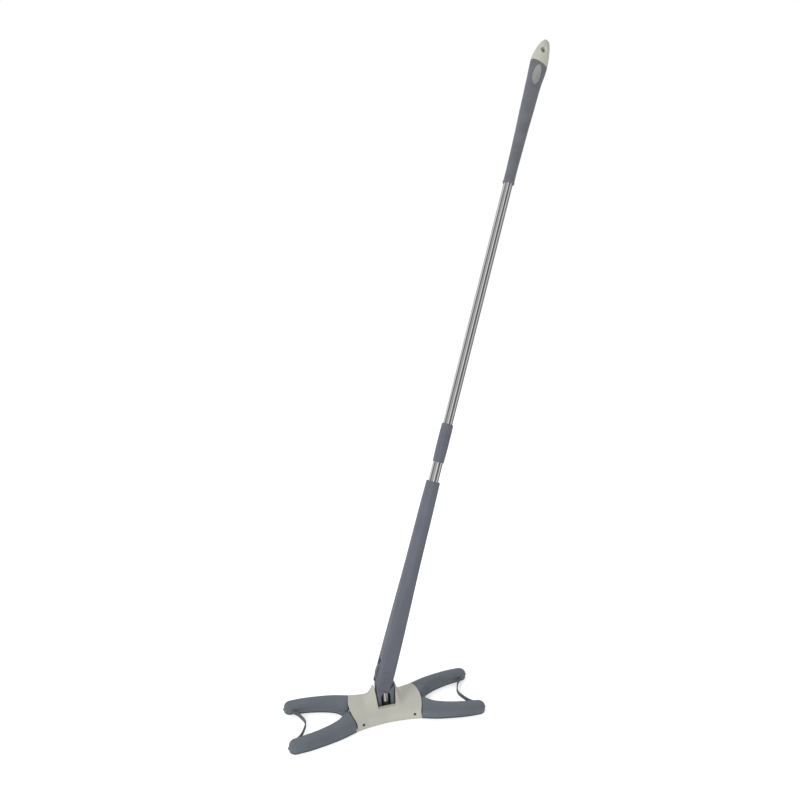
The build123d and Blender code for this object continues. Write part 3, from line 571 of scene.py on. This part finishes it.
def build_sleeve():
    """Sliding sleeve: flat-faced foot that turns into a round neck, hollow, with a pocket for the lever."""
    count = 180
    heights = steps(FOOT_JOIN, 40.0, 64) + steps(40.0, SLEEVE_TOP - 1.2, 90)[1:]
    angles = [2 * pi * (i + 0.5) / count for i in range(count)]

    def ring(z, inset=0.0):
        points = []
        for angle in angles:
            x, y = sleeve_point(angle, z, inset)
            dent = lever_recess(angle, z) if inset == 0.0 else 0.0
            points.append((x + dent, y, z))
        return points

    def end_ring(lift, inset):
        points = []
        for angle in angles:
            x, y = sleeve_point(angle, FOOT_JOIN, inset)
            points.append((x, y, -sqrt(max(0.0, (SLEEVE_END_R - lift) ** 2 - x * x))))
        return points

    rings = [end_ring(0.0, 0.5), end_ring(0.5, 0.0)]
    start = rings[-1]
    for k in range(1, 5):
        low = ring(FOOT_JOIN)
        rings.append([tuple(Vector(a).lerp(Vector(b), k / 5)) for a, b in zip(start, low)])
    rings += [ring(z) for z in heights]
    rings += [ring(SLEEVE_TOP - 0.5, 0.35), ring(SLEEVE_TOP, 1.1)]
    rings += [circle_like(NECK_BORE_R, z, angles) for z in (SLEEVE_TOP, SLEEVE_TOP - NECK_DEPTH)]
    rings += [ring(SLEEVE_TOP - NECK_DEPTH, NECK_WALL)]
    rings += [ring(z, NECK_WALL if z > 60 else 3.0) for z in (300, 200, 120, 60)]
    wide_end, thick_end = end_ring(0.0, 0.9), end_ring(0.0, FOOT_WALL)
    flared = [(wide[0], thick[1], wide[2]) for wide, thick in zip(wide_end, thick_end)]
    rings += [clear_of_pocket(points) for points in (ring(59, FOOT_WALL), ring(0.0, FOOT_WALL))]
    rings.append(flared)
    sleeve = loft("sliding_sleeve", rings, POLE, closed=True, smooth_angle=28)
    settle(sleeve, "sleeve", "grey_plastic", "sleeve_shell")


# height of the centre above the roll pin, radius, and half the sweep in degrees
ARCHES = ((9.0, 8.0, 84), (3.5, 6.0, 84), (0.0, 3.2, 179.9))
ARCH_HALF, ARCH_RISE = 0.8, 0.7


def build_arch_mark():
    """Plain raised arches over the boss of the roll pin, on the sleeve's front face."""
    front = -SLEEVE_PROFILE[0][2]
    bm = bmesh.new()
    for centre, radius, sweep in ARCHES:
        rings = []
        for angle in steps(radians(90 - sweep), radians(90 + sweep), 40):
            rings.append([((radius + ARCH_HALF * cos(t)) * cos(angle), front - ARCH_RISE * sin(t),
                           centre + (radius + ARCH_HALF * cos(t)) * sin(angle))
                          for t in steps(0.0, 2 * pi, 10)[:-1]])
        add_loft(bm, rings)
    settle(finish_mesh("arch_mark", bm, POLE), "sleeve", "grey_plastic")


def build_lever():
    """Lens-shaped lever with a thumb hollow and rounded edges, in its pocket."""
    outside = -smooth_table(SLEEVE_PROFILE, 0.07)[0]
    rings = []
    for t in steps(-1.0, 1.0, 24):
        z = (LEVER_LOW + LEVER_HIGH) / 2 + t * (LEVER_HIGH - LEVER_LOW) / 2
        bulge = 4.2 * (1 - t * t) ** 0.8 - 0.8
        half = LEVER_HALF * (1 - 0.25 * abs(t) ** 3)
        front, rear = outside - bulge, outside + 3.4
        middle = (front + rear) / 2
        ring = []
        for i in range(32):
            x, y = squircle((rear - front) / 2, half, 3.4, 2 * pi * i / 32)
            hollow = 0.5 * (1 - t * t) * max(0.0, 1 - (y / half) ** 2) if x < 0 else 0.0
            ring.append((middle + x + hollow, y, z))
        rings.append(ring)
    settle(loft("thumb_lever", rings, POLE), "lever", "grey_plastic", "release_lever")


# ================================================================ arms, soles and spring strips
# share of the back right arm's reach, and x and y of its outer and inner edge
ARM_OUTER = ((0.0, 63.9, 41.4), (0.24, 89.9, 50.2), (0.485, 118.0, 56.4), (0.78, 152.0, 61.6),
             (1.0, 176.0, 62.6))
ARM_INNER = ((0.0, 71.6, 1.7), (0.07, 77.2, 2.4), (0.13, 81.0, 5.4), (0.26, 92.0, 16.4), (0.44, 112.0, 25.2),
             (0.70, 140.0, 32.4), (1.0, 175.0, 37.6))
# share of the arm's reach, height of the outer and inner side walls and of the crest
ARM_HEIGHTS = ((0.0, 15.6, 15.6, 21.6), (0.12, 15.0, 14.4, 21.6), (0.4, 13.6, 13.0, 21.0),
               (0.8, 12.4, 12.0, 18.8), (1.0, 11.8, 11.8, 17.6))
SOLE_TOP = span("sole_back_right", ROW)[1].z
ACROSS = 18              # steps over the crown of an arm
TIP_ADVANCE = 13.4       # reach of the rounded tip beyond the last straight station
TIP_RINGS, TIP_STEP = 15, 6.2    # rings round the tip, and degrees between them
ROOT_BOW, ROOT_REACH = 1.3, 0.3  # bow of the root round the cover's end, and where it fades out


def arm_station(share, squeeze=1.0, advance=0.0):
    """Outer and inner edge points of the back right arm at a share of its reach."""
    outer = Vector(smooth_table(ARM_OUTER, share))
    inner = Vector(smooth_table(ARM_INNER, share))
    middle, half = (outer + inner) / 2, (outer - inner) / 2 * squeeze
    along = Vector((half.y, -half.x)).normalized() * advance
    return middle + half + along, middle - half + along


def arm_ring(share, squeeze=1.0, advance=0.0, low=None, sink=0.0):
    """Closed section of an arm: domed crown, rounded shoulders, side walls and a flat underside."""
    low = SOLE_TOP if low is None else low
    outer, inner = arm_station(share, squeeze, advance)
    wall_outer, wall_inner, crest = smooth_table(ARM_HEIGHTS, share)
    bow = ROOT_BOW * max(0.0, 1 - share / ROOT_REACH)
    ring = []
    for i in range(ACROSS + 1):
        u = -cos(pi * i / ACROSS)
        wall = wall_outer + (wall_inner - wall_outer) * (u + 1) / 2
        dome = max(0.0, 1 - abs(u) ** 2.3) ** 0.62
        height = wall - sink + (crest - wall) * dome * squeeze ** 0.8
        point = outer.lerp(inner, (u + 1) / 2)
        ring.append((point.x + bow * (1 - u * u), point.y, height))
    for z, pull in ((low + 4.5, 0.0), (low + 0.8, 0.0), (low, 0.7)):
        edge = inner + (outer - inner).normalized() * pull
        ring.append((edge.x, edge.y, z))
    for z, pull in ((low, 0.7), (low + 0.8, 0.0), (low + 4.5, 0.0)):
        edge = outer + (inner - outer).normalized() * pull
        ring.append((edge.x, edge.y, z))
    return ring


def arm_rings():
    rings = []
    for share in (0.0, 0.004, 0.012):
        rings.append(arm_ring(share, 1.0 - 0.02 * (share == 0.0), sink=0.5 * (share == 0.0)))
    rings += [arm_ring(share) for share in steps(0.03, 0.97, 44)]
    for k in range(TIP_RINGS):
        phi = radians(TIP_STEP * k)
        rings.append(arm_ring(1.0, cos(phi), TIP_ADVANCE * sin(phi), sink=3.0 * (1 - cos(phi)) ** 2))
    return rings


def mirrored(ring, right, back):
    return [(x if right else -x, y if back else -y, z) for x, y, z in ring]


def build_arms():
    """Four domed arms with their pivot tongues, and the rubber soles under them."""
    rings = arm_rings()
    tongue = tongue_rings()
    for right in (False, True):
        for back in (False, True):
            corner = f"{'back' if back else 'front'}_{'right' if right else 'left'}"
            bm = bmesh.new()
            add_loft(bm, [mirrored(ring, right, back) for ring in rings])
            arm = finish_mesh(f"arm_crown_{corner}", bm, ROW, 50)
            settle(arm, f"arm_{corner}", "arm_plastic", f"arm_{corner}")
            root = loft(f"arm_tongue_{corner}", [mirrored(ring, right, back) for ring in tongue], ROW)
            settle(root, f"arm_{corner}", "arm_plastic")
            sole = loft(f"arm_sole_{corner}", [mirrored(ring, right, back) for ring in sole_rings()], ROW)
            settle(sole, f"arm_{corner}", "sole_rubber", f"sole_{corner}")


def sole_rings():
    """Thin rubber sole, a little inside the arm's outline."""
    rings = []
    stations = [(share, 1.0, 0.0) for share in (0.0, *steps(0.03, 0.97, 30))]
    tip_angles = [radians(TIP_STEP * k) for k in range(TIP_RINGS)]
    stations += [(1.0, cos(phi), TIP_ADVANCE * sin(phi)) for phi in tip_angles]
    for share, squeeze, advance in stations:
        outer, inner = arm_station(share, squeeze, advance * 0.96)
        bow = ROOT_BOW * max(0.0, 1 - share / ROOT_REACH)
        middle = (outer + inner) / 2
        ring = []
        for z, pull in ((0.0, 1.4), (0.5, 0.7), (SOLE_TOP, 0.5)):
            edge = outer + (middle - outer) * min(0.9, pull / max(0.5, (middle - outer).length))
            ring.append((edge.x, edge.y, z))
        for z, pull in ((SOLE_TOP, 0.5), (0.5, 0.7), (0.0, 1.4)):
            edge = inner + (middle - inner) * min(0.9, pull / max(0.5, (middle - inner).length))
            ring.append((edge.x, edge.y, z))
        ring.insert(3, (middle.x + bow, middle.y, SOLE_TOP))
        ring.append((middle.x + bow, middle.y, 0.0))
        rings.append(ring)
    return rings


def tongue_rings():
    """Flat eye round the arm's pivot post, inside the cover."""
    px, py = PINCH.x, PINCH.y
    rings = []
    for inset, z in ((0.8, 4.0), (0.0, 4.8), (0.0, 17.6), (0.8, 18.4)):
        ring = []
        for i in range(40):
            angle = 2 * pi * i / 40
            radius = 10.6 - inset
            x, y = px + radius * cos(angle), py + radius * sin(angle) * 0.9
            if x > px:
                x = px + (x - px) * 1.35
            ring.append((x, y, z))
        rings.append(ring)
    return rings


def build_strips():
    """V-shaped spring strips on edge, one at each end, with rounded edges."""
    low, high = span("spring_strip_right", ROW)
    bottom, top = low.z, high.z
    apex, end_x, end_y = low.x + 1.0, high.x - 0.6, high.y - 0.3
    half_table = ((0.25, apex + 1.4, 8.0), (0.55, end_x - 12.0, end_y - 13.0),
                  (0.8, end_x - 6.0, end_y - 4.8), (1.0, end_x, end_y))
    table = (*((-t, x, -y) for t, x, y in reversed(half_table)), (0.0, apex, 0.0), *half_table)
    for side in (-1, 1):
        name = "right" if side > 0 else "left"
        rings = []
        for t in steps(-1.0, 1.0, 64):
            here = Vector(smooth_table(table, t))
            ahead = (Vector(smooth_table(table, min(1.0, t + 0.01)))
                     - Vector(smooth_table(table, max(-1.0, t - 0.01))))
            normal = Vector((ahead.y, -ahead.x)).normalized()
            half = 1.15 + 0.5 * abs(t) ** 3
            ring = []
            for across, z in ((-1, bottom + 0.5), (-0.6, bottom), (0.6, bottom), (1, bottom + 0.5),
                              (1, top - 0.5), (0.6, top), (-0.6, top), (-1, top - 0.5)):
                point = here + normal * half * across
                ring.append((side * point.x, point.y, z))
            rings.append(ring)
        strip = loft(f"spring_leaf_{name}", rings, ROW, smooth_angle=35)
        settle(strip, "head", "strip_plastic", f"spring_strip_{name}")
        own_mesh(strip)


# ================================================================ cover and knuckle
COVER_CORNER = (62.0, 41.0)
COVER_REACH = 71         # half length of the cover along its middle
COVER_BOW = COVER_HIGH.x - COVER_CORNER[0]
COVER_WAIST = 34.5
COVER_EDGE_Z = 15.4
COVER_CREST_Z = 25.2
COVER_WALL = 2.5
EAR_TOP = 55.4
EAR_Y = 6.0              # the ears peak a little behind the pin
EAR_HALF = 21.5
EAR_FOOT = 21.0          # length of their concave flanks
EAR_FRONT, EAR_BACK = 37.0, 31.0
SOLID_HALF = 27.0        # the cover is solid under the swivel
COVER_ACROSS = 48        # steps across the cover
BASE_TOP = 3.0           # top of the floor plate
PITCH = Vector(joints["head_pitch"]["pos_m"]) / MM
SLOT_HALF_LOW, SLOT_HALF_HIGH = 17.5, 20.7
TROUGH_R = 21.5          # round trough under the knuckle


def cover_edge(x):
    """Waisted front or back edge of the cover."""
    return COVER_WAIST + (COVER_CORNER[1] - COVER_WAIST) * (x / COVER_CORNER[0]) ** 2


def cover_top(x, y, along, across):
    """Height of the cover's outer skin: a domed slab with a saddle that rises into the ears."""
    slab = COVER_EDGE_Z + (COVER_CREST_Z - COVER_EDGE_Z) * max(0.0, 1 - abs(across) ** 2.4) ** 0.62
    flank = min(1.0, max(0.0, 1 - (abs(x) - EAR_HALF) / EAR_FOOT)) ** 2.0
    reach = EAR_FRONT if y < EAR_Y else EAR_BACK
    ridge = 0.5 + 0.5 * cos(pi * min(1.0, abs(y - EAR_Y) / reach))
    rim = 0.7 * max(0.0, 1 - ((1 - abs(along)) * COVER_CORNER[0] / 2.2) ** 2)
    return slab + rim + (EAR_TOP - slab) * flank * ridge ** 0.85


def cover_ring(along):
    """Closed section of the cover shell: skirt, dome, skirt, and back along the inside."""
    outer, inner = [], []
    for k in range(COVER_ACROSS + 1):
        across = -cos(pi * k / COVER_ACROSS)
        x = along * (COVER_CORNER[0] + COVER_BOW * (1 - across * across))
        y = across * cover_edge(x)
        z = cover_top(x, y, along, across)
        if k == 0:
            outer.append((x, y, COVER_LOW.z))
            inner.append((x, y + COVER_WALL, COVER_LOW.z))
        outer.append((x, y, z))
        inset_y = across * (cover_edge(x) - COVER_WALL)
        roof = BASE_TOP + 0.1 if abs(x) < SOLID_HALF else min(z, COVER_CREST_Z) - COVER_WALL
        inner.append((x, inset_y, roof))
        if k == COVER_ACROSS:
            outer.append((x, y, COVER_LOW.z))
            inner.append((x, y - COVER_WALL, COVER_LOW.z))
    return outer, inner


def slot_cutters():
    """Open-topped slot between the ears and the round trough under the knuckle."""
    low, high = PITCH.z - 12, EAR_TOP + 8
    rings = [[(-half, y, z) for y in (-60.0, 60.0)] + [(half, y, z) for y in (60.0, -60.0)]
             for half, z in ((SLOT_HALF_LOW, low), (SLOT_HALF_HIGH, high))]
    slot = loft("slot_cutter", rings, ROW)
    turns = [2 * pi * i / 64 for i in range(64)]
    rings = [[(x, TROUGH_R * cos(turn), PITCH.z + TROUGH_R * sin(turn)) for turn in turns]
             for x in (-SLOT_HALF_LOW, SLOT_HALF_LOW)]
    return slot, loft("trough_cutter", rings, ROW)


def build_cover():
    """Cream cover: lofted shell, cut for the swivel and given one skin with soft edges."""
    solid_ends = [side * (SOLID_HALF + d) / COVER_REACH for side in (-1, 1) for d in (-0.2, 0.2)]
    stations = sorted({*steps(-1.0, 1.0, 90), *solid_ends})
    bm = bmesh.new()
    loops = [[[bm.verts.new(p) for p in side] for side in cover_ring(along)] for along in stations]
    for low, high in zip(loops, loops[1:]):
        for skin in (0, 1):
            for i in range(len(low[skin]) - 1):
                bm.faces.new((low[skin][i], low[skin][i + 1], high[skin][i + 1], high[skin][i]))
        for i in (0, -1):
            bm.faces.new((low[0][i], low[1][i], high[1][i], high[0][i]))
    for outer, inner in (loops[0], loops[-1]):
        for i in range(len(outer) - 1):
            bm.faces.new((outer[i], outer[i + 1], inner[i + 1], inner[i]))
    cover = finish_mesh("cover_shell", bm, ROW)
    cutters = slot_cutters()
    for cutter in cutters:
        cut = cover.modifiers.new(cutter.name, "BOOLEAN")
        cut.object = cutter
        cut.operation = "DIFFERENCE"
        cut.solver = "EXACT"
    add_skin(cover, 0.55, 10)
    for cutter in cutters:
        bpy.data.objects.remove(cutter)
    settle(cover, "head", "cream_plastic", "head_cover")


def build_knuckle():
    """Swivel knuckle: the CAD block with its edges softened."""
    block = remesh_copy("knuckle_block", "knuckle", 0.45, 6)
    settle(block, "knuckle", "grey_plastic", "knuckle")


# ================================================================ studio
FLOOR_GLOW = 0.36        # the far floor is as bright as the backdrop


def build_floor():
    bpy.ops.mesh.primitive_plane_add(size=60, location=(0, 0, -0.0003))
    floor = bpy.context.object
    floor.name = "studio_floor"
    floor.visible_glossy = False
    material, tree, shader = base_material("pale_floor", (0.93, 0.93, 0.93), 0.8)
    tree.links.new(ramp(tree, noise(tree, 3.0, 3.0), 0.92, 0.94), shader.inputs["Base Color"])
    shader.inputs["Emission Color"].default_value = (1, 1, 1, 1)
    shader.inputs["Emission Strength"].default_value = FLOOR_GLOW
    floor.data.materials.append(material)


def area_light(name, location, target, size, power):
    data = bpy.data.lights.new(name, "AREA")
    data.shape = "RECTANGLE"
    data.size, data.size_y = size
    data.energy = power
    light = bpy.data.objects.new(name, data)
    light.location = location
    light.visible_glossy = False
    light.rotation_euler = (Vector(target) - Vector(location)).to_track_quat("-Z", "Y").to_euler()
    bpy.context.scene.collection.objects.link(light)
    return light


# direction as a share of a turn, clockwise from the back, and how bright plated parts see it
STUDIO = (
    (0.0, 0.42), (0.10, 0.70), (0.19, 0.12), (0.23, 0.12), (0.27, 0.35), (0.315, 0.35), (0.335, 0.70),
    (0.372, 0.70), (0.395, 0.14), (0.498, 0.11), (0.518, 0.85), (0.566, 0.85), (0.588, 0.28),
    (0.62, 0.40), (0.70, 0.45), (0.75, 0.13), (0.80, 0.13), (0.84, 0.80), (0.92, 0.80), (0.95, 0.25),
    (1.0, 0.42),
)
FILL_LEVEL = 0.72        # even light that the rest of the object gets


def math_node(tree, operation, a, b=None):
    node = tree.nodes.new("ShaderNodeMath")
    node.operation = operation
    for socket, value in zip(node.inputs, (a, b)):
        if isinstance(value, (int, float)):
            socket.default_value = value
        elif value is not None:
            tree.links.new(value, socket)
    return node.outputs[0]


def build_world():
    """White studio whose brightness changes with direction, so that plated parts have something to show."""
    world = bpy.data.worlds.new("studio")
    world.use_nodes = True
    bpy.context.scene.world = world
    tree = world.node_tree
    background = tree.nodes["Background"]
    split = tree.nodes.new("ShaderNodeSeparateXYZ")
    tree.links.new(tree.nodes.new("ShaderNodeTexCoord").outputs["Generated"], split.inputs[0])
    turn = math_node(tree, "ARCTAN2", split.outputs["X"], split.outputs["Y"])
    share = math_node(tree, "FRACT", math_node(tree, "DIVIDE", turn, 2 * pi))
    sky = tree.nodes.new("ShaderNodeValToRGB")
    tree.links.new(share, sky.inputs["Fac"])
    elements = sky.color_ramp.elements
    while len(elements) < len(STUDIO):
        elements.new(0.5)
    for element, (at, level) in zip(elements, STUDIO):
        element.position = at
        element.color = (level, level, level * 1.01, 1)
    path = tree.nodes.new("ShaderNodeLightPath")
    even = tree.nodes.new("ShaderNodeRGB")
    even.outputs[0].default_value = (FILL_LEVEL, FILL_LEVEL, FILL_LEVEL, 1)
    white = tree.nodes.new("ShaderNodeRGB")
    white.outputs[0].default_value = (1, 1, 1, 1)
    light = mix(tree, path.outputs["Is Glossy Ray"], even.outputs[0], sky.outputs["Color"])
    seen = mix(tree, path.outputs["Is Camera Ray"], light, white.outputs[0])
    tree.links.new(seen, background.inputs["Color"])


def build_camera():
    data = bpy.data.cameras.new("camera")
    data.lens, data.sensor_width = 25.87, 36.0
    camera = bpy.data.objects.new("camera", data)
    camera.location = (-0.2439, -0.9531, 0.8122)
    camera.rotation_euler = Vector((0.27219, 0.94248, -0.19407)).to_track_quat("-Z", "Y").to_euler()
    bpy.context.scene.collection.objects.link(camera)
    bpy.context.scene.camera = camera


def build_studio():
    build_floor()
    build_world()
    build_camera()
    middle = (0.15, 0.1, 0.5)
    area_light("key", (-2.2, -0.9, 2.0), middle, (1.2, 1.6), 34)
    area_light("back", (0.6, 2.2, 2.2), middle, (2.0, 1.4), 12)
    bpy.context.scene.view_settings.view_transform = "Standard"


paint_nodes()
build_studio()
build_tubes()
build_grip()
build_cap()
build_inlay()
build_collar()
build_sleeve()
build_arch_mark()
build_lever()
build_cover()
build_knuckle()
build_arms()
build_strips()
